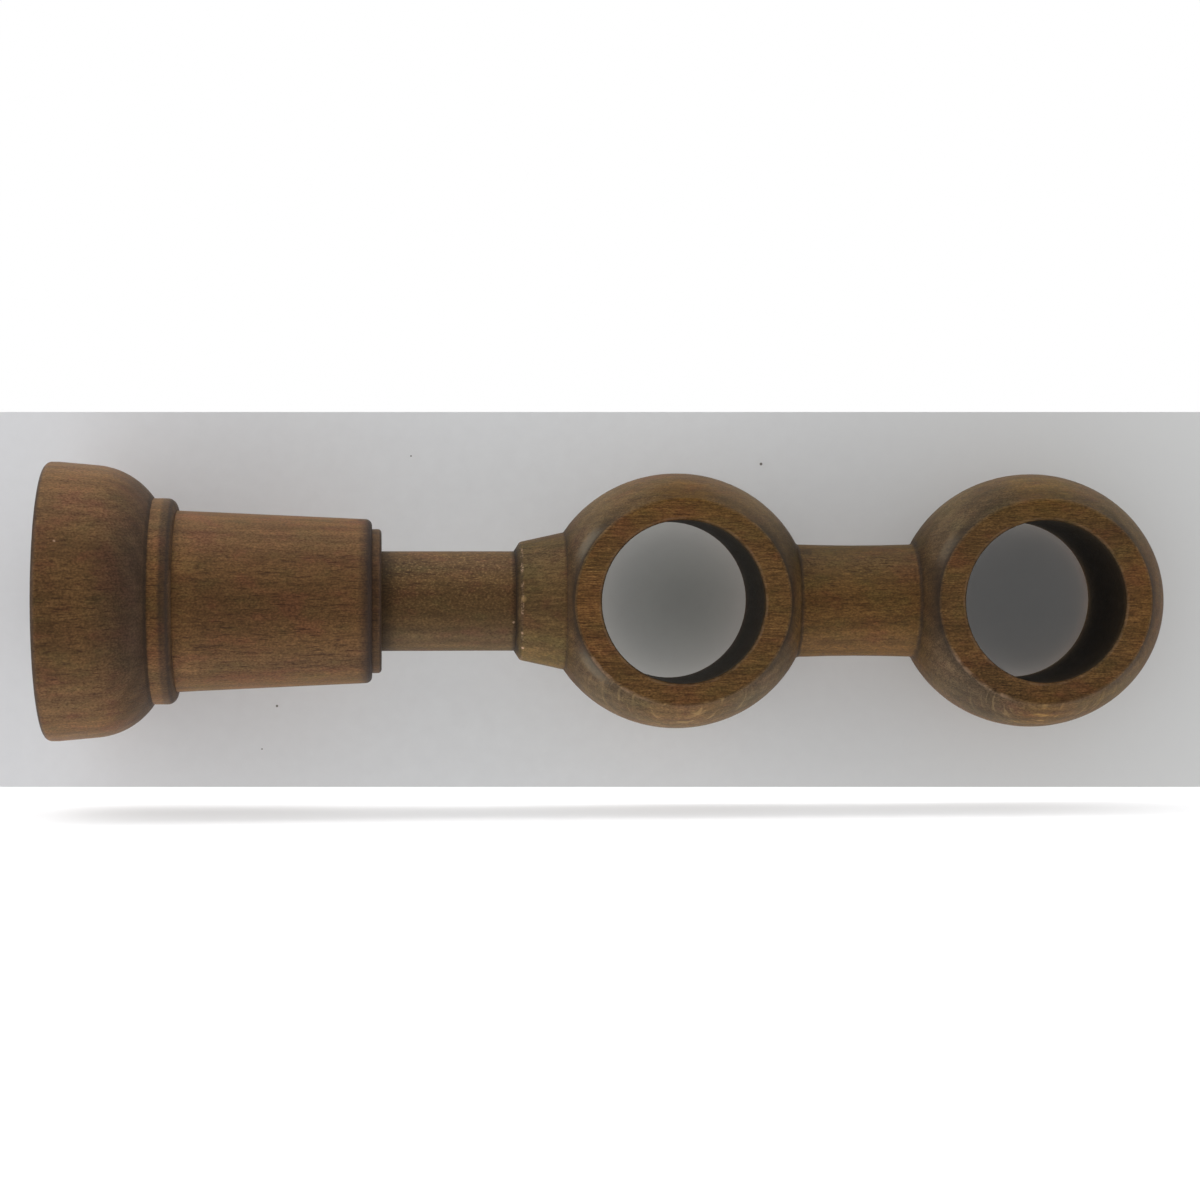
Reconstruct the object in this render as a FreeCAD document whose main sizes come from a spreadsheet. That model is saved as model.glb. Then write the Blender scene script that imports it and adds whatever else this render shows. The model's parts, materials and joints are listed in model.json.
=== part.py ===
import FreeCAD, Part

import math
import os

import Sketcher

# Wooden curtain pole bracket with two rings in line, for a double pole.
# The origin is the centre of the wall face. +X runs out from the wall along the arm,
# +Z is up, and the two poles pass through the rings along Y. All lengths are millimetres.

document = FreeCAD.newDocument("CurtainPoleBracket")

# Driving dimensions

SIZES = {
    # Wall base, turned: a bell foot, a bead, a tapered sleeve and a small lip
    "foot_diameter": 50.0,
    "foot_rim": 2.4,
    "foot_arris": 1.5,
    "foot_taper_angle": 5.0,
    "foot_length": 19.2,
    "shoulder_radius": 13.3,
    "bead_step": 2.2,
    "bead_width": 4.1,
    "bead_round": 1.7,
    "sleeve_root_diameter": 32.6,
    "sleeve_narrowing": 3.1,
    "sleeve_length": 34.8,
    "sleeve_round": 1.2,
    "lip_step": 1.75,
    "lip_width": 1.7,
    "lip_round": 0.7,
    # Neck dowel, glued into the base and into the ring arm
    "neck_diameter": 18.0,
    "neck_reach": 23.9,
    "base_socket_depth": 18.0,
    "arm_socket_depth": 11.0,
    "dowel_chamfer": 1.0,
    "glue_clearance": 0.05,
    "socket_end_space": 0.5,
    # Ring arm, turned: a tapered collar, a ball, a waisted link and a second ball.
    # A span is what the collar or the link adds between the balls' own full lengths.
    "nose_lip": 0.1,
    "nose_chamfer": 1.0,
    "nose_round": 0.8,
    "nose_step": 1.6,
    "collar_flare": 1.75,
    "collar_span": 5.15,
    "link_span": 16.4,
    "link_diameter": 20.55,
    "link_dip": 0.2,
    "link_fillet": 1.0,
    "ball_stretch": 2.4,
    # Pole bores across both balls, which are milled flat on both sides
    "pole_diameter": 28.0,
    "pole_clearance": 1.0,
    "bore_arris": 0.4,
    "ring_wall": 8.65,
    "ring_thickness": 28.4,
    "ring_arris": 0.6,
    "mill_overrun": 5.0,
    # Threaded insert for the wall bolt, in the back of the base
    "insert_diameter": 12.0,
    "insert_length": 15.0,
    "insert_bore": 6.8,
    "insert_slot_width": 1.6,
    "insert_slot_depth": 1.8,
    "insert_drill_space": 2.0,
}

# Places that follow from the driving dimensions, in the order that they need each other

PLACES = {
    "foot_radius": "Sizes.foot_diameter / 2",
    "bead_end": "Sizes.foot_length + Sizes.bead_width",
    "sleeve_root_radius": "Sizes.sleeve_root_diameter / 2",
    "sleeve_end_radius": "sleeve_root_radius - Sizes.sleeve_narrowing / 2",
    "sleeve_end": "bead_end + Sizes.sleeve_length",
    "bead_radius": "sleeve_root_radius + Sizes.bead_step",
    "lip_radius": "sleeve_end_radius - Sizes.lip_step",
    "base_length": "sleeve_end + Sizes.lip_width",
    "neck_radius": "Sizes.neck_diameter / 2",
    "socket_radius": "neck_radius + Sizes.glue_clearance",
    "base_socket_bore": "Sizes.base_socket_depth + Sizes.socket_end_space",
    "arm_socket_bore": "Sizes.arm_socket_depth + Sizes.socket_end_space",
    "dowel_start": "base_length - Sizes.base_socket_depth",
    "dowel_length": "Sizes.base_socket_depth + Sizes.neck_reach + Sizes.arm_socket_depth",
    "arm_start": "base_length + Sizes.neck_reach",
    "nose_radius": "neck_radius + Sizes.nose_lip",
    "collar_start_radius": "nose_radius + Sizes.nose_step",
    "collar_end_radius": "collar_start_radius + Sizes.collar_flare",
    "bore_radius": "(Sizes.pole_diameter + Sizes.pole_clearance) / 2",
    "ball_radius": "bore_radius + Sizes.ring_wall",
    "ball_diameter": "ball_radius * 2",
    "ball_length": "ball_diameter + Sizes.ball_stretch",
    "first_ring_reach": "Sizes.collar_span + ball_length / 2",
    "second_ring_reach": "first_ring_reach + ball_length + Sizes.link_span",
    "arm_length": "second_ring_reach + ball_length / 2",
    "link_end_radius": "Sizes.link_diameter / 2",
    "link_waist_radius": "link_end_radius - Sizes.link_dip",
    "link_middle": "(first_ring_reach + second_ring_reach) / 2",
    "ring_face": "Sizes.ring_thickness / 2",
    "mill_reach": "ball_radius + Sizes.mill_overrun",
    "insert_radius": "Sizes.insert_diameter / 2",
    "insert_bore_radius": "Sizes.insert_bore / 2",
    "slot_side": "Sizes.insert_slot_width / 2",
    "insert_drill_depth": "Sizes.insert_length + Sizes.insert_drill_space",
}


def fill_sheet(name, entries):
    sheet = document.addObject("Spreadsheet::Sheet", name)
    for row, (alias, content) in enumerate(entries.items(), start=1):
        sheet.set(f"A{row}", alias.replace("_", " "))
        sheet.set(f"B{row}", str(content))
        sheet.setAlias(f"B{row}", alias)
    document.recompute()
    return sheet


sizes = fill_sheet("Sizes", SIZES)
places = fill_sheet("Places", {alias: "=" + formula for alias, formula in PLACES.items()})


def number(alias):
    """What the cell with this alias holds, in either sheet."""
    return float((sizes if alias in SIZES else places).get(alias))


def cell(alias):
    """The cell with this alias, as another object's expression names it."""
    return ("Sizes." if alias in SIZES else "Places.") + alias


# Bodies, sketches and features

# The sketcher's own numbers: an edge's points, and below zero the origin and the two axes
START, END, CENTRE = range(1, 4)
ORIGIN = ACROSS_AXIS = -START
UP_AXIS = -END

TOUCH = 0.001
SHOULDER_BULGE = 0.1


def new_body(name, start=None):
    """A sub-part with its own label, placed along the arm."""
    body = document.addObject("PartDesign::Body", name)
    body.Label = name
    if start is not None:
        body.setExpression("Placement.Base.x", cell(start))
    return body


def origin_plane(body, role):
    return [item for item in body.Origin.OriginFeatures if item.Role == role][0]


def new_sketch(body, name, role, offset=None):
    sketch = body.newObject("Sketcher::SketchObject", name)
    sketch.AttachmentSupport = [(origin_plane(body, role), "")]
    sketch.MapMode = "FlatFace"
    if offset is not None:
        sketch.setExpression("AttachmentOffset.Base.z", cell(offset))
    return sketch


def tie(sketch, kind, *where):
    sketch.addConstraint(Sketcher.Constraint(kind, *where))


def bind(sketch, name, alias, kind, *where):
    """Adds a constraint whose value is a cell."""
    index = sketch.addConstraint(Sketcher.Constraint(kind, *where, number(alias)))
    sketch.renameConstraint(index, name)
    sketch.setExpression(f"Constraints.{name}", cell(alias))


def locate(sketch, edge, end, across, up):
    """Ties a point to a cell along each axis of the sketch; None puts it on that axis."""
    for kind, alias, axis in (("DistanceX", across, UP_AXIS), ("DistanceY", up, ACROSS_AXIS)):
        if alias is None:
            tie(sketch, "PointOnObject", edge, end, axis)
        else:
            bind(sketch, f"{kind}_{edge}_{end}", alias, kind, ORIGIN, START, edge, end)


def join(sketch, edges, backward=(), smooth=()):
    """Joins edges head to tail into a loop.

    An edge in backward runs the other way, and one in smooth is tangent to the next.
    """
    for edge, following in zip(edges, edges[1:] + edges[:1]):
        tail = START if edge in backward else END
        head = END if following in backward else START
        kind = "Tangent" if edge in smooth else "Coincident"
        tie(sketch, kind, edge, tail, following, head)


def spot(across, up):
    """A first guess of a place in a sketch, from cells or numbers; None is zero."""
    pair = [number(item) if isinstance(item, str) else item or 0 for item in (across, up)]
    return FreeCAD.Vector(pair[0], pair[1], 0)


def add_chain(sketch, corners):
    """Straight edges through corners that are pairs of cells, each corner tied to its cells."""
    spots = [spot(*corner) for corner in corners]
    edges = []
    for start, end in zip(spots, spots[1:]):
        edges.append(sketch.addGeometry(Part.LineSegment(start, end), False))
    for edge, corner in zip(edges, corners):
        locate(sketch, edge, START, *corner)
    return edges


def add_circle(sketch, across, radius):
    """A circle with its centre on the sketch's first axis."""
    circle = Part.Circle(spot(across, None), FreeCAD.Vector(0, 0, 1), number(radius))
    edge = sketch.addGeometry(circle, False)
    locate(sketch, edge, CENTRE, across, None)
    bind(sketch, f"{radius}_{edge}", radius, "Radius", edge)


def add_band(sketch, near, far, half_height):
    """A rectangle centred on the first axis, and on the second too if it has no near side."""
    right, top = number(far), number(half_height)
    left = number(near) if near else -right
    corners = [spot(left, -top), spot(right, -top), spot(right, top), spot(left, top)]
    edges = []
    for start, end in zip(corners, corners[1:] + corners[:1]):
        edges.append(sketch.addGeometry(Part.LineSegment(start, end), False))
    join(sketch, edges)
    low, far_side, high, near_side = edges
    tie(sketch, "Symmetric", far_side, START, high, START, ACROSS_AXIS)
    tie(sketch, "Horizontal", low)
    tie(sketch, "Vertical", near_side)
    locate(sketch, high, START, far, half_height)
    if near:
        tie(sketch, "Horizontal", high)
        bind(sketch, f"{near}_{near_side}", near, "DistanceX", ORIGIN, START, near_side, START)
    else:
        tie(sketch, "Symmetric", near_side, START, high, START, UP_AXIS)


def apply(feature, **settings):
    for name, setting in settings.items():
        setattr(feature, name, setting)
    document.recompute()
    return feature


def turn(body, sketch, name):
    """Turns a profile once round the sketch's first axis."""
    feature = body.newObject("PartDesign::Revolution", name)
    return apply(feature, Profile=sketch, ReferenceAxis=(sketch, ["H_Axis"]), Angle=360.0)


def pad(body, sketch, name, length):
    feature = body.newObject("PartDesign::Pad", name)
    feature.setExpression("Length", cell(length))
    return apply(feature, Profile=sketch)


def pocket(body, sketch, name, depth=None, forward=False):
    """Cuts a sketch to a depth, or right through both ways, and sees that it did cut."""
    before = body.Shape.Volume
    feature = body.newObject("PartDesign::Pocket", name)
    if depth is None:
        apply(feature, Profile=sketch, Type="ThroughAll", Midplane=True)
    else:
        feature.setExpression("Length", cell(depth))
        apply(feature, Profile=sketch, Reversed=forward)
    if feature.Shape.Volume > before - TOUCH:
        raise RuntimeError(f"{name} cuts nothing")
    return feature


def edges_where(feature, accept):
    """Names of the edges that accept says yes to; a ball's pole isn't a real edge."""
    numbered = enumerate(feature.Shape.Edges, start=1)
    return [f"Edge{index}" for index, edge in numbered if not edge.Degenerated and accept(edge)]


def is_near(one, other):
    return abs(one - other) < TOUCH


def turned_edges(feature, radius, *across):
    """Circles of a radius round the arm's axis, at a cell's distance along it or at any."""
    def accept(edge):
        curve = edge.Curve
        if not isinstance(curve, Part.Circle) or not is_near(curve.Radius, number(radius)):
            return False
        return not across or is_near(curve.Center.x, spot(*across, None).x)
    return edges_where(feature, accept)


def flat_edges(feature, round_bores):
    """Edges in the two ring faces: the pole bores' rims, or the flats' own outlines."""
    def accept(edge):
        box = edge.BoundBox
        in_face = is_near(box.YMin, box.YMax) and is_near(abs(box.YMin), number("ring_face"))
        curve = edge.Curve
        is_rim = isinstance(curve, Part.Circle) and is_near(curve.Radius, number("bore_radius"))
        return in_face and is_rim == round_bores
    return edges_where(feature, accept)


def soften(body, feature, size, edges, walls=(), chamfer=False):
    """Rounds or chamfers edges by a cell, or by no more than half of a wall beside them."""
    if not edges:
        raise RuntimeError(f"{size} finds no edge")
    softened = body.newObject("PartDesign::Chamfer" if chamfer else "PartDesign::Fillet", size)
    softened.Base = (feature, edges)
    limits = [cell(size)] + [f"{cell(wall)} / 2" for wall in walls]
    formula = "min(" + "; ".join(limits) + ")"
    softened.setExpression("Size" if chamfer else "Radius", formula)
    return apply(softened)


# Wall base: one turned piece, with a socket for the dowel and a hole for the insert

def make_wall_base():
    body = new_body("wall_base")
    sketch = new_sketch(body, "base_profile", "XZ_Plane")
    front = add_chain(sketch, [
        (None, None),
        ("base_length", None),
        ("base_length", "lip_radius"),
        ("sleeve_end", "lip_radius"),
        ("sleeve_end", "sleeve_end_radius"),
        ("bead_end", "sleeve_root_radius"),
        ("bead_end", "bead_radius"),
        ("foot_length", "bead_radius"),
    ])

    # The convex shoulder runs from the bead up to the tapered rim and is tangent to it
    bead_corner = spot("foot_length", "bead_radius")
    rim_corner = spot("foot_rim", "foot_radius")
    shoulder_top = FreeCAD.Vector((bead_corner.x + rim_corner.x) / 2, rim_corner.y, 0)
    chord = shoulder_top - bead_corner
    bulge = (bead_corner + shoulder_top) / 2 + FreeCAD.Vector(chord.y, -chord.x, 0) * SHOULDER_BULGE
    shoulder = sketch.addGeometry(Part.Arc(bead_corner, bulge, shoulder_top), False)
    taper = sketch.addGeometry(Part.LineSegment(shoulder_top, rim_corner), False)
    back = add_chain(sketch, [("foot_rim", "foot_radius"), (None, "foot_radius"), (None, None)])
    locate(sketch, shoulder, START, "foot_length", "bead_radius")
    join(sketch, front + [shoulder, taper] + back, smooth=[shoulder])
    bind(sketch, "shoulder_radius", "shoulder_radius", "Radius", shoulder)
    slope = math.pi - math.radians(number("foot_taper_angle"))
    sketch.addConstraint(Sketcher.Constraint("Angle", taper, slope))
    sketch.setExpression(
        f"Constraints[{sketch.ConstraintCount - 1}]",
        f"180 deg - {cell('foot_taper_angle')} * 1 deg")
    solid = turn(body, sketch, "base_turning")

    # Sanded edges
    for name, across, radius, walls in (
            ("foot_arris", None, "foot_radius", ["foot_rim"]),
            ("bead_round", "bead_end", "bead_radius", ["bead_width"]),
            ("sleeve_round", "sleeve_end", "sleeve_end_radius", []),
            ("lip_round", "base_length", "lip_radius", ["lip_width"])):
        solid = soften(body, solid, name, turned_edges(solid, radius, across), walls)

    # The dowel's socket in front and the insert's hole behind
    socket = new_sketch(body, "base_socket_circle", "YZ_Plane", "base_length")
    add_circle(socket, None, "socket_radius")
    pocket(body, socket, "base_socket", "base_socket_bore")
    hole = new_sketch(body, "insert_hole_circle", "YZ_Plane")
    add_circle(hole, None, "insert_radius")
    pocket(body, hole, "insert_hole", "insert_drill_depth", forward=True)
    return body


# Neck dowel: plain, with a chamfer at both hidden ends

def make_neck_dowel():
    body = new_body("neck_dowel", "dowel_start")
    sketch = new_sketch(body, "dowel_section", "YZ_Plane")
    add_circle(sketch, None, "neck_radius")
    rod = pad(body, sketch, "dowel_rod", "dowel_length")
    soften(body, rod, "dowel_chamfer", turned_edges(rod, "neck_radius"), chamfer=True)
    return body


# Ring arm: one turned piece, milled flat on both sides and bored for two poles

def add_ball(sketch, reach, front_radius, back_radius):
    """The upper half of a ball's outline, as its front arc and its back arc.

    They meet at the ball's widest, so that the flats don't lie inside one face of the ball.
    """
    centre = spot(reach, None)
    half_height = number("ball_radius")
    outline = Part.Ellipse(
        centre + spot("ball_length", None) / 2,
        centre + spot(None, "ball_radius"),
        centre)
    angles = [math.asin(number(front_radius) / half_height) if front_radius else 0.0,
              math.pi / 2,
              math.pi - math.asin(number(back_radius) / half_height)]
    arcs = []
    for first, last in zip(angles, angles[1:]):
        arc = sketch.addGeometry(Part.ArcOfEllipse(outline, first, last), False)
        sketch.exposeInternalGeometry(arc)
        long_axis = arc + 1
        tie(sketch, "Horizontal", long_axis)
        bind(sketch, f"ball_length_{arc}", "ball_length", "Distance", long_axis)
        arcs.append(arc)
    front, back = arcs
    short_axis = front + 2
    bind(sketch, f"ball_diameter_{front}", "ball_diameter", "Distance", short_axis)
    locate(sketch, front, CENTRE, reach, None)
    tie(sketch, "Vertical", front, END, front, CENTRE)
    tie(sketch, "Coincident", back, CENTRE, front, CENTRE)
    return front, back


def hold_height(sketch, edge, end, up):
    bind(sketch, f"{up}_{edge}_{end}", up, "DistanceY", ORIGIN, START, edge, end)


def make_ring_arm():
    body = new_body("ring_arm", "arm_start")
    sketch = new_sketch(body, "arm_profile", "XZ_Plane")
    end_front, end_back = add_ball(sketch, "second_ring_reach", None, "link_end_radius")
    near_front, near_back = add_ball(
        sketch, "first_ring_reach", "link_end_radius", "collar_end_radius")
    tie(sketch, "PointOnObject", end_front, START, ACROSS_AXIS)
    hold_height(sketch, end_back, END, "link_end_radius")
    hold_height(sketch, near_front, START, "link_end_radius")
    hold_height(sketch, near_back, END, "collar_end_radius")

    # The link is a shallow hollow, lowest midway between the balls
    link_back = sketch.getPoint(near_front, START)
    link_front = sketch.getPoint(end_back, END)
    waist = spot("link_middle", "link_waist_radius")
    link = sketch.addGeometry(Part.Arc(link_back, waist, link_front), False)
    low_point = sketch.addGeometry(Part.Point(waist), True)
    tie(sketch, "PointOnObject", low_point, START, link)
    locate(sketch, low_point, START, "link_middle", "link_waist_radius")

    collar_end = sketch.getPoint(near_back, END)
    collar_start = spot("nose_chamfer", "collar_start_radius")
    collar = sketch.addGeometry(Part.LineSegment(collar_end, collar_start), False)
    nose = add_chain(sketch, [
        ("nose_chamfer", "collar_start_radius"), (None, "nose_radius"), (None, None)])
    axis = sketch.addGeometry(Part.LineSegment(spot(None, None), spot("arm_length", None)), False)
    tie(sketch, "PointOnObject", axis, START, UP_AXIS)
    tie(sketch, "PointOnObject", axis, START, ACROSS_AXIS)
    outline = [end_front, end_back, link, near_front, near_back, collar] + nose + [axis]
    join(sketch, outline, backward=[link])
    solid = turn(body, sketch, "arm_turning")
    solid = soften(body, solid, "nose_round", turned_edges(solid, "collar_start_radius"))
    solid = soften(body, solid, "link_fillet", turned_edges(solid, "link_end_radius"))

    socket = new_sketch(body, "arm_socket_circle", "YZ_Plane")
    add_circle(socket, None, "socket_radius")
    pocket(body, socket, "arm_socket", "arm_socket_bore", forward=True)

    # Both balls are milled flat on two sides
    waste = new_sketch(body, "flat_waste", "YZ_Plane")
    add_band(waste, "ring_face", "mill_reach", "mill_reach")
    flat = pocket(body, waste, "right_flats")
    mirrored = body.newObject("PartDesign::Mirrored", "left_flats")
    mirrored.Originals = [flat]
    mirrored.MirrorPlane = (origin_plane(body, "XZ_Plane"), [""])
    body.Tip = apply(mirrored)

    bores = new_sketch(body, "pole_circles", "XZ_Plane")
    for reach in ("first_ring_reach", "second_ring_reach"):
        add_circle(bores, reach, "bore_radius")
    solid = pocket(body, bores, "pole_bores")

    # Sanded edges of the flats and of the bores
    solid = soften(body, solid, "ring_arris", flat_edges(solid, False))
    soften(body, solid, "bore_arris", flat_edges(solid, True))
    return body


# Threaded insert: a slotted sleeve, flush with the wall face

def make_threaded_insert():
    body = new_body("threaded_insert")
    sketch = new_sketch(body, "insert_section", "YZ_Plane")
    add_circle(sketch, None, "insert_radius")
    pad(body, sketch, "insert_sleeve", "insert_length")
    bore = new_sketch(body, "insert_bore_circle", "YZ_Plane")
    add_circle(bore, None, "insert_bore_radius")
    pocket(body, bore, "insert_bore")
    slot = new_sketch(body, "insert_slot_band", "YZ_Plane")
    add_band(slot, None, "insert_diameter", "slot_side")
    pocket(body, slot, "insert_slot", "insert_slot_depth", forward=True)
    return body


bodies = [make_wall_base(), make_neck_dowel(), make_ring_arm(), make_threaded_insert()]
document.recompute()

# Every object is sound before anything is written
for item in document.Objects:
    if "Invalid" in item.State or "Error" in item.State:
        raise RuntimeError(f"{item.Name} is {item.State}")
    if item.TypeId == "Sketcher::SketchObject" and not item.FullyConstrained:
        raise RuntimeError(f"{item.Name} is loose")
for body in bodies:
    shape = body.Shape
    if shape.isNull() or not shape.isValid() or len(shape.Solids) != 1:
        raise RuntimeError(f"{body.Label} is not one sound solid")

os.makedirs("parts", exist_ok=True)
for body in bodies:
    body.Shape.exportStep(f"parts/{body.Label}.step")
    print(f"{body.Label}: {body.Shape.Volume:.1f} mm3")
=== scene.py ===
import json
import math

import bpy
from mathutils import Matrix, Vector


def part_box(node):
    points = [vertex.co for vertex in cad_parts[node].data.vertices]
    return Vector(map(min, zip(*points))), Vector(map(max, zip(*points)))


# A stained beech curtain pole bracket with two rings in line, in front of a pale board.
# Scene units are metres. Shader distances are millimetres along the same axes.

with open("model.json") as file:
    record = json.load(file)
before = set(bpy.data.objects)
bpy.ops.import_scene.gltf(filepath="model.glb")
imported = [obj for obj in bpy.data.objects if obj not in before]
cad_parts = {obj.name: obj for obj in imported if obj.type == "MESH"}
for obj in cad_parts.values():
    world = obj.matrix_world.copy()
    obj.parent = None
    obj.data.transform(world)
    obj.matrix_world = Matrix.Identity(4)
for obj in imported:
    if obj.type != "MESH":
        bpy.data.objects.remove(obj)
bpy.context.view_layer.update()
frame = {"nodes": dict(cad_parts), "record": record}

MM = 0.001
X, Y, Z = 0, 1, 2


def mount(name):
    """The record's mount with this name: its place and its dimensions."""
    return next(item for item in frame["record"]["mounts"] if item["name"] == name)


def span(node, axis):
    """Lowest and highest coordinate of a node along an axis, in millimetres."""
    low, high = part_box(node)
    return low[axis] / MM, high[axis] / MM


# Places along the arm and sizes of its forms, in millimetres
FOOT_RADIUS = span("wall_base", Z)[1]
FOOT_LENGTH = 19.2
BEAD_END = 23.3
BASE_END = span("wall_base", X)[1]
LIP_WIDTH = 1.7
SLEEVE_END = BASE_END - LIP_WIDTH
ARM_START, ARM_END = span("ring_arm", X)
RING_FACE = span("ring_arm", Y)[1]
NEAR_RING = mount("near_pole_bore")["pos_m"][X] / MM
FAR_RING = mount("far_pole_bore")["pos_m"][X] / MM
BORE_RADIUS = mount("near_pole_bore")["dims"]["r_mm"]
BALL_HALF_LENGTH = ARM_END - FAR_RING
BALL_RADIUS = span("ring_arm", Z)[1]
INSERT_BORE_RADIUS = mount("wall_bolt")["dims"]["r_mm"]
THREAD_PITCH = 1.25

# Where the collar and link meet a ball, and where its flat ends, as shares of its own size
COLLAR_SHARE = 0.843
LINK_SHARE = 0.893
FLAT_SHARE = math.sqrt(1 - (RING_FACE / BALL_RADIUS) ** 2)
COLLAR_END = NEAR_RING - COLLAR_SHARE * BALL_HALF_LENGTH
LINK_START = NEAR_RING + LINK_SHARE * BALL_HALF_LENGTH
LINK_END = FAR_RING - LINK_SHARE * BALL_HALF_LENGTH


# Camera at the photograph's viewing angle

FRAME_PIXELS = 1200
FOCAL_PIXELS = 2833.1
SENSOR = 36.0
NEAREST = 0.01
CAMERA_PLACE = Vector((61.63, -512.96, 7.36)) * MM
CAMERA_YAW = math.radians(4.205)
CAMERA_PITCH = math.radians(-0.802)


def camera_axes():
    """The camera's right, up and forward directions."""
    right = Vector((math.cos(CAMERA_YAW), -math.sin(CAMERA_YAW), 0))
    level = Vector((math.sin(CAMERA_YAW), math.cos(CAMERA_YAW), 0))
    forward = level * math.cos(CAMERA_PITCH) + Vector((0, 0, math.sin(CAMERA_PITCH)))
    return right, right.cross(forward), forward


def add_camera():
    data = bpy.data.cameras.new("photo_camera")
    data.sensor_fit = "HORIZONTAL"
    data.sensor_width = SENSOR
    data.lens = FOCAL_PIXELS / FRAME_PIXELS * SENSOR
    data.clip_start = NEAREST
    camera = bpy.data.objects.new("photo_camera", data)
    bpy.context.collection.objects.link(camera)
    right, up, forward = camera_axes()
    turned = Matrix((right, up, -forward)).transposed()
    camera.matrix_world = Matrix.Translation(CAMERA_PLACE) @ turned.to_4x4()
    bpy.context.scene.camera = camera


# Shader graphs

class Graph:
    """A node graph. A number or colour is set on the node's own socket."""

    def __init__(self, owner):
        owner.use_nodes = True
        self.nodes = owner.node_tree.nodes
        self.links = owner.node_tree.links

    def feed(self, socket, value):
        if isinstance(value, bpy.types.NodeSocket):
            self.links.new(value, socket)
        else:
            socket.default_value = value

    def add(self, kind, inputs, output=0, **settings):
        node = self.nodes.new("ShaderNode" + kind)
        for name, setting in settings.items():
            setattr(node, name, setting)
        for key, value in inputs.items():
            self.feed(node.inputs[key], value)
        return node.outputs[output]

    def split(self, vector):
        node = self.nodes.new("ShaderNodeSeparateXYZ")
        self.links.new(vector, node.inputs[0])
        return tuple(node.outputs)

    # Numbers

    def math(self, operation, *values):
        return self.add("Math", dict(enumerate(values)), operation=operation)

    def linear(self, value, slope, start):
        return self.math("MULTIPLY_ADD", value, slope, start)

    def step(self, value, low, high):
        """Rises smoothly from 0 at low to 1 at high; high may be the smaller."""
        if low > high:
            return self.inverse(self.step(value, high, low))
        inputs = {"Value": value, "From Min": low, "From Max": high}
        return self.add("MapRange", inputs, interpolation_type="SMOOTHSTEP")

    def band(self, value, start, full, fading, end):
        """Rises from 0 at start to 1 at full, and falls from 1 at fading to 0 at end."""
        return self.all_of(self.step(value, start, full), self.step(value, end, fading))

    def line(self, value, place, half_width, soft=0.4):
        """1 where a value is at a place, falling to 0 this far on both sides."""
        away = self.math("ABSOLUTE", self.math("SUBTRACT", value, place))
        return self.step(away, half_width, half_width * soft)

    def inverse(self, share):
        return self.math("SUBTRACT", 1.0, share)

    def all_of(self, *shares):
        """The product of some shares."""
        product = shares[0]
        for share in shares[1:]:
            product = self.math("MULTIPLY", product, share)
        return product

    # Vectors

    def vector_math(self, operation, *vectors, output=0, **inputs):
        inputs.update(enumerate(vectors))
        return self.add("VectorMath", inputs, output, operation=operation)

    def scaled(self, vector, size):
        return self.vector_math("SCALE", vector, Scale=size)

    def stretch(self, place, *sizes):
        """The place measured in cells of these sizes."""
        return self.vector_math("MULTIPLY", place, [1 / size for size in sizes])

    def length(self, *parts):
        joined = self.add("CombineXYZ", dict(enumerate(parts)))
        return self.vector_math("LENGTH", joined, output="Value")

    def noise(self, place, scale=1.0, detail=2.0, roughness=0.5):
        inputs = {"Vector": place, "Scale": scale, "Detail": detail, "Roughness": roughness}
        return self.add("TexNoise", inputs)

    # Colours

    def mix(self, share, start, end, blend="MIX"):
        colour_a, colour_b, colour_result = 6, 7, 2
        inputs = {0: share, colour_a: start, colour_b: end}
        return self.add("Mix", inputs, colour_result, data_type="RGBA", blend_type=blend)

    def tint(self, share, colour, tone):
        """The colour multiplied by a tone, as far as the share says."""
        if not isinstance(tone, bpy.types.NodeSocket):
            tone = (*tone, 1.0)
        return self.mix(share, colour, tone, blend="MULTIPLY")

    def grey(self, level):
        """A tone with one level for red, green and blue."""
        return self.add("CombineXYZ", {0: level, 1: level, 2: level})


class Shader(Graph):
    """A material's node graph, with object coordinates in millimetres."""

    def __init__(self, name):
        self.material = bpy.data.materials.new(name)
        super().__init__(self.material)
        self.surface = self.nodes["Principled BSDF"]
        self.output = self.nodes["Material Output"]
        coordinates = self.nodes.new("ShaderNodeTexCoord")
        self.place = self.scaled(coordinates.outputs["Object"], 1 / MM)
        self.x, self.y, self.z = self.split(self.place)
        self.face_x, self.face_y, self.face_z = self.split(coordinates.outputs["Normal"])

    def distance(self, point):
        """Distance from a point, in millimetres."""
        return self.vector_math("DISTANCE", self.place, point, output="Value")

    def coat(self, colour, roughness, specular):
        surface = self.surface.inputs
        self.feed(surface["Base Color"], colour)
        self.feed(surface["Roughness"], roughness)
        surface["Specular IOR Level"].default_value = specular

    def emboss(self, height, strength, depth):
        """Bump with a height from 0 to 1 and a depth in millimetres."""
        inputs = {"Strength": strength, "Distance": depth * MM, "Height": height}
        self.feed(self.surface.inputs["Normal"], self.add("Bump", inputs))


def srgb(red, green, blue):
    """A colour written as it looks on screen, from 0 to 255."""
    def linear(level):
        level /= 255
        return level / 12.92 if level <= 0.04045 else ((level + 0.055) / 1.055) ** 2.4
    return (linear(red), linear(green), linear(blue), 1.0)


# Stained beech

LIGHT_STAIN = srgb(104, 77, 48)
DEEP_STAIN = srgb(80, 58, 36)
RED_STAIN = srgb(98, 62, 43)
OLIVE_STAIN = srgb(83, 69, 41)
RAY_DARK = srgb(46, 29, 19)
RAY_LIGHT = srgb(134, 107, 70)
# Dark stain, and painted shade in grooves and where parts meet
DARK_STAIN_AND_SHADE = srgb(32, 25, 20)
BAND_STAIN_AND_SHADE = srgb(40, 33, 31)
BORE_STAIN_AND_SHADE = srgb(20, 16, 8)
WORN_WOOD = srgb(158, 128, 104)
DUST_AND_SHEEN = srgb(121, 115, 102)

YEAR_RING = 3.2


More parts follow.
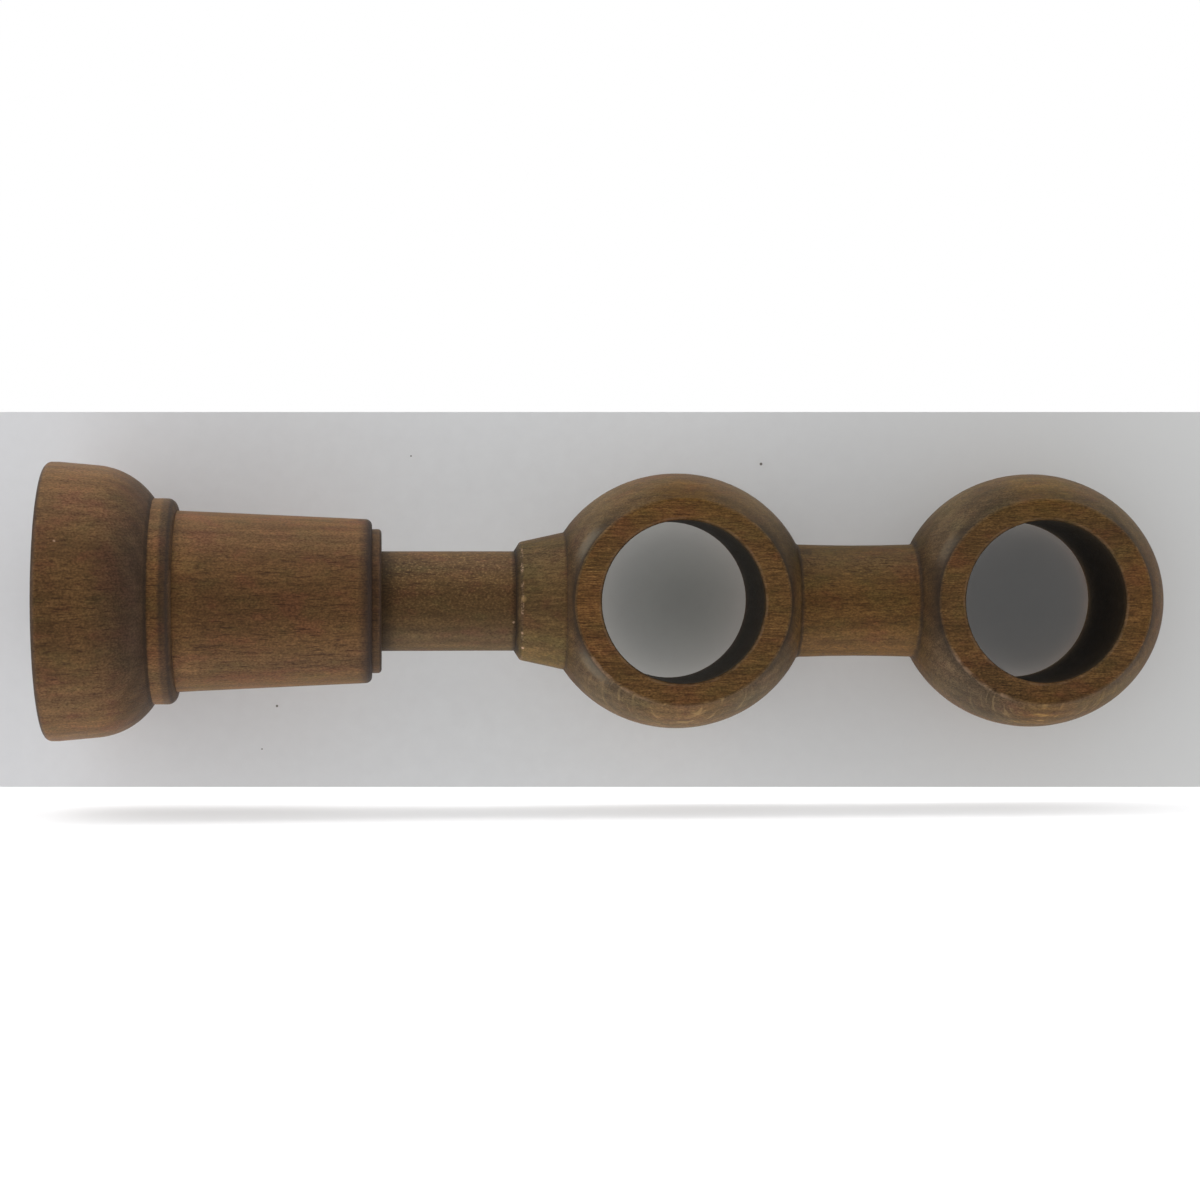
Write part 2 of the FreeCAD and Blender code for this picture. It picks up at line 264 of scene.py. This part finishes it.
class Beech(Shader):
    """Turned beech with its grain along X. The pith is the line that the year rings go round."""

    def __init__(self, name, pith_y, pith_z):
        super().__init__(name)
        # Grain space: along the grain, out from the pith, and round the year rings
        away = self.vector_math("SUBTRACT", self.place, (0, pith_y, pith_z))
        _, away_y, away_z = self.split(away)
        self.radius = self.length(away_y, away_z)
        outward = self.vector_math("DOT_PRODUCT", away, (0, -pith_y, -pith_z), output="Value")
        aside = self.vector_math("DOT_PRODUCT", away, (0, pith_z, -pith_y), output="Value")
        turn = self.math("ARCTAN2", aside, outward)
        round_pith = self.math("MULTIPLY", turn, math.hypot(pith_y, pith_z))
        self.grain = self.add("CombineXYZ", {0: self.x, 1: self.radius, 2: round_pith})

        # How far a face looks round the rings, as a quarter-sawn face does, or along the grain
        across = self.math("SUBTRACT", self.math("MULTIPLY", self.face_z, away_y),
                           self.math("MULTIPLY", self.face_y, away_z))
        self.quarter = self.math("ABSOLUTE", self.math("DIVIDE", across, self.radius))
        self.end_grain = self.math("ABSOLUTE", self.face_x)

        self.from_axis = self.length(self.y, self.z)
        self.from_middle = self.math("ABSOLUTE", self.z)
        self.streaks = self.noise(self.stretch(self.grain, 22, 4, 0.9), detail=4, roughness=0.6)
        self.fibres = self.noise(self.stretch(self.grain, 4.5, 0.7, 0.45),
                                 detail=5, roughness=0.75)
        self.speckle = self.noise(self.stretch(self.grain, 0.42, 0.3, 0.26), detail=3)
        wander = self.math("MULTIPLY", self.noise(self.stretch(self.place, 40, 9, 9)), 5.0)
        self.rings = self.math("SINE", self.math(
            "MULTIPLY", self.math("ADD", self.radius, wander), 2 * math.pi / YEAR_RING))
        self.rays = self.math("MAXIMUM", self.dashes(2.4, 14, 0.2, 0.6, 0.72),
                              self.math("MULTIPLY", self.dashes(1.5, 9, 0.17, 0.56, 0.7), 0.6))

    def dashes(self, long, high, wide, low, full, detail=1.0):
        """Noise in cells of this size in grain space, cut off below a level."""
        return self.step(self.noise(self.stretch(self.grain, long, high, wide), detail=detail),
                         low, full)

    def colour_wood(self, tone, quarter_gain, end_stains, end_share, fleck_share):
        """Year rings, stain streaks, fibres, rays and darker end grain."""
        depth = self.linear(self.rings, 0.13, self.linear(self.streaks, 1.1, -0.05))
        colour = self.mix(self.step(depth, 0.0, 1.0), DEEP_STAIN, LIGHT_STAIN)

        # Stain that took unevenly, reddish in places and olive in others
        patches = self.noise(self.stretch(self.place, 8, 4, 4), detail=4, roughness=0.6)
        for low, high, share, stain in ((0.5, 0.68, 0.5, RED_STAIN),
                                        (0.48, 0.32, 0.45, OLIVE_STAIN)):
            colour = self.mix(self.all_of(self.step(patches, low, high), share), colour, stain)

        turned_away = self.step(self.quarter, 0.35, 0.95)
        shade = self.all_of(self.linear(self.fibres, 1.1, 0.46),
                            self.math("MULTIPLY", self.speckle, 2.0),
                            self.linear(turned_away, quarter_gain - 1, 1.0))
        colour = self.tint(1.0, colour, self.scaled(tone, shade))
        colour = self.add_rays(colour, fleck_share)
        return self.soak_ends(colour, end_stains, end_share)

    def add_rays(self, colour, fleck_share):
        """Dark dashes on a flat-sawn face, and light flecks on a quarter-sawn one."""
        flat_sawn = self.step(self.quarter, 0.9, 0.5)
        colour = self.mix(self.all_of(self.rays, flat_sawn, 0.7), colour, RAY_DARK)
        flecks = self.all_of(self.dashes(2.8, 9, 0.26, 0.56, 0.7, detail=2.0),
                             self.step(self.quarter, 0.6, 0.9),
                             self.step(self.from_axis, 14.0, 18.0),
                             self.linear(self.step(self.z, 0.0, -10.0), 0.8, 0.2))
        return self.mix(self.all_of(flecks, fleck_share), colour, RAY_LIGHT)

    def soak_ends(self, colour, end_stains, end_share):
        """End grain takes one stain far from the axis and the other near it."""
        uneven = self.all_of(self.linear(self.speckle, 1.2, 0.4),
                             self.linear(self.streaks, 1.0, 0.5),
                             self.linear(self.rings, 0.12, 1.0))
        end = self.mix(self.step(self.from_axis, 19.0, 12.0), *end_stains)
        end = self.tint(1.0, end, self.grey(uneven))
        darkened = self.all_of(self.step(self.end_grain, 0.1, 0.85), end_share)
        return self.mix(darkened, colour, end)

    def near_x(self, place, width):
        """1 at a place along the arm, falling to 0 at this distance, a little unevenly."""
        uneven = self.linear(self.streaks, width, self.x)
        return self.line(uneven, place + 0.5 * width, width, 0.15)

    def groove(self, colour, place, width, share):
        """Dark stain and painted shade all round a place along the arm."""
        return self.mix(self.all_of(self.near_x(place, width), share), colour, DARK_STAIN_AND_SHADE)

    def dab(self, colour, point, size, paint, share=1.0, blend="MIX"):
        """A mark round a point, ragged at its edge."""
        ragged = self.linear(self.speckle, 0.9 * size, -0.45 * size)
        near = self.step(self.math("ADD", self.distance(point), ragged), size, 0.3 * size)
        return self.mix(self.all_of(near, share), colour, paint, blend)

    def finish(self, colour):
        """Satin lacquer over fine open grain."""
        self.coat(colour, roughness=self.linear(self.fibres, 0.3, 0.34), specular=0.06)
        height = self.math("SUBTRACT", self.fibres, self.math("MULTIPLY", self.rays, 0.6))
        self.emboss(height, strength=0.4, depth=0.07)
        return self.material


def base_wood():
    wood = Beech("stained_beech_base", 76.0, 14.0)
    colour = wood.colour_wood(tone=(0.87, 0.86, 0.86), quarter_gain=1.14,
                              end_stains=(srgb(54, 40, 28), srgb(50, 37, 25)),
                              end_share=0.85, fleck_share=0.1)
    uneven_x = wood.linear(wood.streaks, 0.6, wood.x)

    # Painted shade on the shoulder's front, which turns away from the light, and dark stain with
    # painted shade in the grooves beside the bead
    shoulder = wood.all_of(wood.band(wood.x, 8.0, 12.0, FOOT_LENGTH - 1.0, FOOT_LENGTH),
                           wood.step(wood.from_middle, 17.0, 6.0))
    colour = wood.tint(shoulder, colour, (0.76, 0.78, 0.86))
    for place, width, share in ((FOOT_LENGTH - 0.3, 0.4, 0.5), (BEAD_END - 0.7, 0.5, 0.4)):
        colour = wood.groove(colour, place, width, share)

    # Painted light on the bead's left half; the sleeve's start is paler, and the sleeve's sides
    # darker than its middle
    central = wood.step(wood.from_middle, 15.0, 8.0)
    bead_lit_half = wood.all_of(
        wood.band(uneven_x, FOOT_LENGTH + 0.3, FOOT_LENGTH + 0.8, BEAD_END - 2.0, BEAD_END - 1.4),
        wood.linear(central, 0.85, 0.15))
    sleeve_start = wood.all_of(
        wood.band(wood.x, BEAD_END, BEAD_END + 0.2, BEAD_END + 2.0, BEAD_END + 6.0),
        wood.linear(central, 0.6, 0.4))
    on_sleeve = wood.step(wood.x, BEAD_END, BEAD_END + 0.5)
    sides = wood.step(wood.from_middle, 4.0, 12.0)
    for share, tone in ((bead_lit_half, (1.4, 1.32, 1.26)),
                        (sleeve_start, (1.3, 1.28, 1.22)),
                        (wood.all_of(on_sleeve, sides), (0.9, 0.88, 0.85)),
                        (wood.all_of(on_sleeve, wood.inverse(sides)), (1.06, 1.03, 1.03))):
        colour = wood.tint(share, colour, tone)

    # Painted shade on the bead's right half, which turns away from the light, and a dark band
    # round the sleeve's end, partly end-grain stain and partly painted shade
    bead_front = wood.band(uneven_x, BEAD_END - 2.3, BEAD_END - 1.5, BEAD_END - 0.5, BEAD_END)
    sleeve_end = wood.step(uneven_x, SLEEVE_END - 2.4, SLEEVE_END - 0.3)
    less_on_lip = wood.linear(wood.step(wood.x, SLEEVE_END, SLEEVE_END + 0.3), -0.35, 0.72)
    for share in (wood.all_of(bead_front, 0.5), wood.all_of(sleeve_end, less_on_lip)):
        colour = wood.mix(share, colour, BAND_STAIN_AND_SHADE)
    # The back face and its rim are darker
    back = wood.all_of(wood.step(wood.face_x, -0.35, -0.9), wood.step(wood.x, 2.0, 0.6), 0.35)
    colour = wood.mix(back, colour, DARK_STAIN_AND_SHADE)

    # A chip of bare wood on the rim and a nick at the sleeve's end
    colour = wood.dab(colour, (4.0, -22.4, 10.7), 0.3, WORN_WOOD, 0.8)
    colour = wood.dab(colour, (55.9, -3.0, 14.7), 0.9, DARK_STAIN_AND_SHADE, 0.7)
    return wood.finish(colour)


def dowel_wood():
    wood = Beech("stained_beech_dowel", 34.0, -62.0)
    colour = wood.colour_wood(tone=(0.83, 0.87, 0.88), quarter_gain=1.02,
                              end_stains=(srgb(62, 50, 39), srgb(62, 50, 39)),
                              end_share=0.85, fleck_share=0.1)
    colour = wood.tint(wood.step(wood.z, 2.0, -8.0), colour, (0.83, 0.89, 0.95))
    glints = wood.all_of(wood.step(wood.speckle, 0.56, 0.7), wood.step(wood.z, -6.0, 6.0), 0.4)
    colour = wood.mix(glints, colour, RAY_LIGHT)

    # Painted shade where it enters the base, dark stain with painted shade where it enters the
    # arm, and one speck of bare wood
    beside_base = wood.all_of(wood.step(wood.x, BASE_END + 3.2, BASE_END), 0.55)
    colour = wood.mix(beside_base, colour, DARK_STAIN_AND_SHADE)
    colour = wood.groove(colour, ARM_START, 0.9, 0.6)
    colour = wood.dab(colour, (83.3, -8.2, -3.7), 0.32, WORN_WOOD, 0.7)
    return wood.finish(colour)


class ArmWood(Beech):
    """The ring arm's wood, which is stained, worn and given painted shade and sheen in its own
    way in each place.
    """

    def __init__(self):
        super().__init__("stained_beech_arm", -78.0, 30.0)
        # Both balls at once, by the distance from the nearer bore
        spacing = FAR_RING - NEAR_RING
        self.from_bore = self.math("WRAP", self.math("SUBTRACT", self.x, NEAR_RING),
                                   spacing / 2, -spacing / 2)
        self.away = self.length(self.from_bore, self.z)
        self.oval = self.length(self.math("DIVIDE", self.from_bore, BALL_HALF_LENGTH),
                                self.math("DIVIDE", self.z, BALL_RADIUS))
        self.depth = self.math("ABSOLUTE", self.y)
        self.milled = self.all_of(self.step(self.math("ABSOLUTE", self.face_y), 0.97, 0.995),
                                  self.step(self.depth, RING_FACE - 0.1, RING_FACE - 0.02))
        self.turned = self.inverse(self.milled)

    def mill_flats(self, colour):
        """The milled flats show fresher, more orange wood."""
        cuts = self.noise(self.stretch(self.place, 3.2, 2, 0.24), detail=4, roughness=0.7)
        milled_left = self.all_of(self.milled,
                                  self.step(self.x, NEAR_RING - 12.0, NEAR_RING - 17.0))
        for share, tone, slope, start in ((self.milled, (1.18, 1.12, 1.0), 2.2, -0.1),
                                          (milled_left, (1.14, 1.07, 1.06), 1.4, 0.3)):
            cut_tone = self.scaled(tone, self.linear(cuts, slope, start))
            colour = self.tint(share, colour, cut_tone)
        milled_far = self.all_of(self.milled, self.step(self.x, LINK_START, LINK_END))
        return self.tint(milled_far, colour, (0.92, 0.93, 0.95))

    def mottle_turned(self, colour):
        """The turned faces are mottled."""
        mottle = self.noise(self.stretch(self.place, 1.4, 0.6, 0.5), detail=3, roughness=0.65)
        return self.tint(self.turned, colour, self.grey(self.linear(mottle, 1.2, 0.4)))

    def tint_link(self, colour):
        """The link and collar are darker on top, which is painted shade, and the collar more
        olive.
        """
        narrow = self.all_of(self.step(self.from_axis, 15.0, 12.5),
                             self.step(self.x, LINK_END + 3.0, LINK_END))
        on_link = self.all_of(narrow, self.step(self.x, COLLAR_END, COLLAR_END + 1.0))
        on_collar = self.step(self.x, COLLAR_END, COLLAR_END - 0.5)
        for share, tone in (
                (self.all_of(narrow, self.step(self.z, 3.0, 10.0)), (0.76, 0.8, 0.72)),
                (self.all_of(narrow, self.step(self.z, -2.0, -9.0)), (1.14, 1.16, 0.96)),
                (on_link, (1.13, 1.05, 0.86)),
                (self.all_of(on_link, self.step(self.z, 0.0, 5.0)), (0.84, 0.89, 0.9)),
                (self.all_of(on_link, self.step(self.z, -5.0, -9.0)), (0.88, 0.84, 0.87)),
                (on_collar, (1.02, 1.1, 1.1))):
            colour = self.tint(share, colour, tone)
        return colour

    def tint_balls(self, colour):
        """The far ball is lighter at its end and darker on top, the near one lighter below."""
        far_top = self.all_of(self.step(self.x, LINK_END, LINK_END + 3.0),
                              self.step(self.z, 5.0, 15.0))
        near_below = self.all_of(self.line(self.x, NEAR_RING, 22.0, 0.3),
                                 self.step(self.z, -14.0, -19.0))
        for share, tone in (
                (self.step(self.x, FAR_RING + 12.0, FAR_RING + 19.0), (1.14, 1.07, 0.94)),
                (far_top, (0.86, 0.89, 0.9)),
                (near_below, (1.14, 1.16, 1.12)),
                (self.step(self.z, 12.0, 17.0), (1.0, 1.0, 0.9))):
            colour = self.tint(share, colour, tone)

        # Patches on the front, by their place right of and above a bore, their size and tone
        for ring, right, rise, size, tone in (
                (NEAR_RING, -10.8, -18.1, 8.0, (0.8, 0.85, 0.9)),
                (NEAR_RING, 10.8, -18.1, 7.0, (0.86, 0.93, 1.0)),
                (NEAR_RING, 18.7, 10.5, 8.0, (0.74, 0.75, 0.67)),
                (FAR_RING, -10.8, -18.1, 11.0, (0.64, 0.69, 0.77)),
                (FAR_RING, 0.0, -21.0, 8.0, (1.08, 1.0, 0.72)),
                (FAR_RING, 10.8, -18.1, 8.0, (0.88, 0.87, 0.68)),
                (FAR_RING, -10.0, 18.6, 7.5, (0.74, 0.73, 0.78)),
                (FAR_RING, 0.0, 21.0, 9.0, (1.2, 1.18, 0.85))):
            colour = self.dab(colour, (ring + right, -9.5, rise), size, (*tone, 1.0),
                              blend="MULTIPLY")
        return self.dab(colour, (NEAR_RING, -12.5, 19.5), 8.0, (1.0, 0.92, 0.55, 1.0),
                        self.turned, blend="MULTIPLY")

    def stain_edges(self, colour):
        """Dark stain outside the flats; stain and painted shade beside them, at the link's end
        and in the bores.
        """
        outside = self.all_of(
            self.band(self.oval, FLAT_SHARE - 0.005, FLAT_SHARE + 0.01,
                      FLAT_SHARE + 0.02, FLAT_SHARE + 0.07),
            self.step(self.end_grain, 0.35, 0.6), 0.5)
        colour = self.mix(outside, colour, DARK_STAIN_AND_SHADE)
        # Painted shade on the sphere just above each flat, softening the step in light at the
        # flat's top edge
        above = self.all_of(
            self.band(self.oval, FLAT_SHARE, FLAT_SHARE + 0.01,
                      FLAT_SHARE + 0.01, FLAT_SHARE + 0.17),
            self.step(self.z, 5.0, 14.0))
        colour = self.tint(above, colour, (0.72, 0.72, 0.68))
        # Dark stain and painted shade beside the flats at mid height and at the link's end, where
        # the link and collar shade the balls
        beside = self.all_of(self.line(self.oval, FLAT_SHARE + 0.012, 0.014),
                             self.step(self.from_middle, 11.0, 7.0), 0.4)
        link_end = self.all_of(self.near_x(LINK_END + 1.4, 2.4),
                               self.step(self.from_middle, 9.0, 5.0), 0.4)
        for share in (beside, link_end):
            colour = self.mix(share, colour, DARK_STAIN_AND_SHADE)

        # Dark stain and painted shade inside the bores, darkest deep inside
        uneven_bore = self.noise(self.stretch(self.place, 1.6, 0.9, 1.6), detail=4, roughness=0.65)
        mouth = self.step(self.linear(uneven_bore, 3.0, self.depth), RING_FACE + 1.0, RING_FACE - 1.5)
        darkened = self.all_of(self.step(self.away, BORE_RADIUS + 0.12, BORE_RADIUS + 0.02),
                             self.linear(uneven_bore, 0.5, 0.6), self.linear(mouth, 0.3, 0.7))
        return self.mix(darkened, colour, BORE_STAIN_AND_SHADE)

    def wear_edges(self, colour):
        """Sanded edges rubbed back to pale wood in places, and dark stain with painted shade in
        the grooves between forms.
        """
        worn = self.noise(self.stretch(self.place, 3, 5, 2.2), detail=4, roughness=0.65)
        on_face = self.step(self.depth, RING_FACE - 0.7, RING_FACE - 0.15)
        flat_edge = self.all_of(self.line(self.oval, FLAT_SHARE, 0.02),
                                self.step(self.from_bore, -3.0, -9.0),
                                self.step(self.z, -7.0, -10.0))
        bore_edge = self.line(self.away, BORE_RADIUS + 0.4, 0.25)
        for edge, share in ((flat_edge, 0.28), (bore_edge, 0.14)):
            colour = self.mix(self.all_of(edge, on_face, self.step(worn, 0.4, 0.6), share),
                              colour, WORN_WOOD)
        for place, width, share in ((ARM_START, 0.7, 0.8), (COLLAR_END, 0.5, 0.3),
                                    (LINK_START, 0.6, 0.5), (LINK_END, 0.6, 0.5)):
            colour = self.groove(colour, place, width, share)
        bare = self.all_of(self.line(self.x, ARM_START + 1.1, 0.35),
                           self.step(worn, 0.48, 0.6), self.step(self.speckle, 0.42, 0.6), 0.6)
        return self.mix(bare, colour, WORN_WOOD)

    def add_marks(self, colour):
        """Worn specks on the collar, a dark smudge on the link and pale haze beside the flats,
        part dust and part painted sheen.
        """
        for point, size, paint, share in (
                ((84.75, -9.1, -5.6), 0.36, WORN_WOOD, 0.7),
                ((84.96, -6.8, -8.3), 0.38, WORN_WOOD, 1.0),
                ((85.0, -10.75, 0.5), 0.7, RAY_LIGHT, 0.7),
                ((136.5, -5.0, 9.0), 1.8, DARK_STAIN_AND_SHADE, 0.45)):
            colour = self.dab(colour, point, size, paint, share)
        # Pale patches beside the flats: dust, with painted sheen on the balls' left
        beside_flat = self.line(self.oval, FLAT_SHARE + 0.045, 0.04)
        for point, size, share in (((96.9, -13.9, 10.1), 4.5, 0.26),
                                   ((98.0, -13.4, -11.0), 5.0, 0.22),
                                   ((161.0, -13.4, 9.2), 4.0, 0.12)):
            colour = self.dab(colour, point, size, DUST_AND_SHEEN, self.all_of(beside_flat, share))
        return colour


def arm_wood():
    wood = ArmWood()
    # The darker end stain near the axis is also painted shade where the link and collar meet the
    # balls
    colour = wood.colour_wood(tone=(0.87, 0.89, 0.88), quarter_gain=0.8,
                              end_stains=(srgb(78, 67, 50), srgb(50, 38, 26)),
                              end_share=0.65, fleck_share=0.42)
    colour = wood.mill_flats(colour)
    colour = wood.mottle_turned(colour)
    colour = wood.tint_link(colour)
    colour = wood.tint_balls(colour)
    colour = wood.stain_edges(colour)
    colour = wood.wear_edges(colour)
    colour = wood.add_marks(colour)
    return wood.finish(colour)


def insert_brass():
    brass = Shader("turned_brass")
    tarnish = brass.noise(brass.place, 0.9, 4.0, 0.6)
    colour = brass.mix(brass.step(tarnish, 0.35, 0.75), srgb(196, 160, 92), srgb(128, 98, 52))
    brass.coat(colour, roughness=brass.linear(tarnish, 0.3, 0.2), specular=0.5)
    brass.surface.inputs["Metallic"].default_value = 1.0

    # A thread in the bore
    turn = brass.math("ARCTAN2", brass.z, brass.y)
    turns = brass.math("SUBTRACT", brass.math("DIVIDE", brass.x, THREAD_PITCH),
                       brass.math("DIVIDE", turn, 2 * math.pi))
    inside = brass.step(brass.length(brass.y, brass.z),
                        INSERT_BORE_RADIUS + 0.5, INSERT_BORE_RADIUS + 0.1)
    thread = brass.all_of(brass.math("PINGPONG", turns, 0.5), inside)
    brass.emboss(thread, strength=1.0, depth=1.2)
    return brass.material


def dress(node, material):
    for slot in frame["nodes"][node].material_slots:
        slot.material = material


# Stage: the board behind the bracket, a floor, and soft light from all sides

BOARD_TILT = math.radians(2.95)
BOARD_TOUCH = Vector((2.4, FOOT_RADIUS, 0)) * MM
BOARD_TOP_ROW = 412
BOARD_BOTTOM_ROW = 787
BOARD_OVERHANG = 260
BOARD_GLOW = 0.02
FLOOR_DROP = 38 * MM
FLOOR_REACH = 3.0
FLOOR_GLOW = 0.45

# Pixels of the photograph's frame: behind the near bore, and specks with their radius in mm
BEHIND_NEAR_BORE = (683, 600)
SPECKS = ((411, 456, 0.2), (761, 464, 0.35), (277, 706, 0.3), (262, 749, 0.18))


def through_pixel(column, row):
    """The direction from the camera through a pixel of the photograph's frame."""
    right, up, forward = camera_axes()
    half = FRAME_PIXELS / 2
    return forward * FOCAL_PIXELS + right * (column - half) + up * (half - row)


def on_board(column, row):
    """Where the line of sight through a pixel meets the board."""
    away = Vector((math.sin(BOARD_TILT), math.cos(BOARD_TILT), 0))
    sight = through_pixel(column, row)
    reach = (BOARD_TOUCH - CAMERA_PLACE).dot(away) / sight.dot(away)
    return CAMERA_PLACE + sight * reach


def add_sheet(name, corners, material):
    """A four-cornered sheet that shows only its front."""
    mesh = bpy.data.meshes.new(name)
    mesh.from_pydata(corners, [], [range(len(corners))])
    mesh.materials.append(material)
    sheet = bpy.data.objects.new(name, mesh)
    bpy.context.collection.objects.link(sheet)
    sheet.visible_shadow = False
    sheet.visible_diffuse = False


def one_sided(shader):
    """Makes the back of a sheet see-through."""
    behind = shader.add("NewGeometry", {}, "Backfacing")
    clear = shader.add("BsdfTransparent", {})
    shown = shader.add("MixShader", {0: behind, 1: shader.surface.outputs[0], 2: clear})
    shader.feed(shader.output.inputs["Surface"], shown)


def seen_ray(shader):
    """1 for rays from the camera, in a reflection or through glass."""
    path = shader.nodes.new("ShaderNodeLightPath")
    seen = shader.math("MAXIMUM", path.outputs["Is Camera Ray"], path.outputs["Is Glossy Ray"])
    return shader.math("MAXIMUM", seen, path.outputs["Is Transmission Ray"])


def glow(shader, strength):
    """Lifts a sheet's paleness for rays that see it, without lighting the object."""
    shader.surface.inputs["Emission Color"].default_value = (1, 1, 1, 1)
    shader.feed(shader.surface.inputs["Emission Strength"],
                shader.math("MULTIPLY", seen_ray(shader), strength))


def board_material():
    board = Shader("pale_board")
    mottle = board.noise(board.place, 0.35, 5.0, 0.6)
    # Painted light: the board is paler at the left, darker to the right and lighter in the middle
    fade = board.step(board.x, -60.0, 280.0)
    shade = board.mix(fade, srgb(232, 233, 236), srgb(217, 218, 217))
    lit = board.all_of(board.line(board.x, 85.0, 110.0, 0.1), 0.6)
    shade = board.mix(lit, shade, srgb(245, 248, 250))
    colour = board.mix(board.math("MULTIPLY", mottle, 0.3), shade, srgb(212, 212, 214))

    # The near bore's shadow on the board, and specks
    behind_bore = board.distance(on_board(*BEHIND_NEAR_BORE) / MM)
    shadow = board.mix(board.step(behind_bore, 5.0, 13.0),
                       (0.82, 0.82, 0.77, 1.0), (0.7, 0.7, 0.67, 1.0))
    colour = board.tint(board.step(behind_bore, 25.0, 18.0), colour, shadow)
    for column, row, size in SPECKS:
        away = board.distance(on_board(column, row) / MM)
        colour = board.mix(board.step(away, size, size * 0.4), colour, srgb(88, 78, 70))
    board.coat(colour, roughness=0.8, specular=0.1)
    glow(board, BOARD_GLOW)
    one_sided(board)
    return board.material


def floor_material():
    floor = Shader("pale_floor")
    mottle = floor.noise(floor.place, 0.06, 3.0)
    floor.coat(floor.mix(mottle, srgb(168, 168, 169), srgb(173, 173, 174)),
               roughness=0.9, specular=0.0)
    glow(floor, FLOOR_GLOW)
    one_sided(floor)
    return floor.material


def add_stage():
    left, right = -BOARD_OVERHANG, FRAME_PIXELS + BOARD_OVERHANG
    corners = [on_board(column, row) for column, row in (
        (left, BOARD_BOTTOM_ROW), (right, BOARD_BOTTOM_ROW),
        (right, BOARD_TOP_ROW), (left, BOARD_TOP_ROW))]
    add_sheet("board", corners, board_material())
    corners = [Vector((x * FLOOR_REACH, y * FLOOR_REACH, -FLOOR_DROP)) for x, y in (
        (-1, -1), (1, -1), (1, 1), (-1, 1))]
    add_sheet("floor", corners, floor_material())


# Light from beside the bracket, how fast it fades towards the camera or the far side, and the
# least light there
FRONT_WALL, FRONT_FADE, FRONT_FILL = 4.05, 2.0, 0.31
BACK_WALL, BACK_FADE, BACK_FILL = 11.0, 4.0, 0.28
LEFT_LEAN = -0.2


def light_stage():
    """A light tent: bright walls all round the board's edges, and dim towards the camera."""
    world = bpy.data.worlds.new("light_tent")
    bpy.context.scene.world = world
    tent = Graph(world)
    coordinates = tent.nodes.new("ShaderNodeTexCoord")
    across, away, _ = tent.split(coordinates.outputs["Generated"])
    from_side = tent.math("ABSOLUTE", away)
    beside = tent.inverse(from_side)
    front = tent.all_of(tent.math("POWER", beside, FRONT_FADE), tent.step(from_side, 0.05, 0.35))
    front = tent.linear(front, FRONT_WALL, FRONT_FILL)
    back = tent.linear(tent.math("POWER", beside, BACK_FADE), BACK_WALL, BACK_FILL)
    behind = tent.step(away, -0.03, 0.03)
    light = tent.math("ADD", tent.all_of(behind, back), tent.all_of(tent.inverse(behind), front))
    light = tent.all_of(light, tent.linear(across, LEFT_LEAN, 1.0))

    # White for rays that see it
    seen = seen_ray(tent)
    strength = tent.math("ADD", seen, tent.all_of(tent.inverse(seen), light))
    background = tent.nodes["Background"].inputs
    background["Color"].default_value = (1, 1, 1, 1)
    tent.feed(background["Strength"], strength)


dress("wall_base", base_wood())
dress("neck_dowel", dowel_wood())
dress("ring_arm", arm_wood())
dress("threaded_insert", insert_brass())
add_camera()
add_stage()
light_stage()

settings = bpy.context.scene.view_settings
settings.view_transform = "Standard"
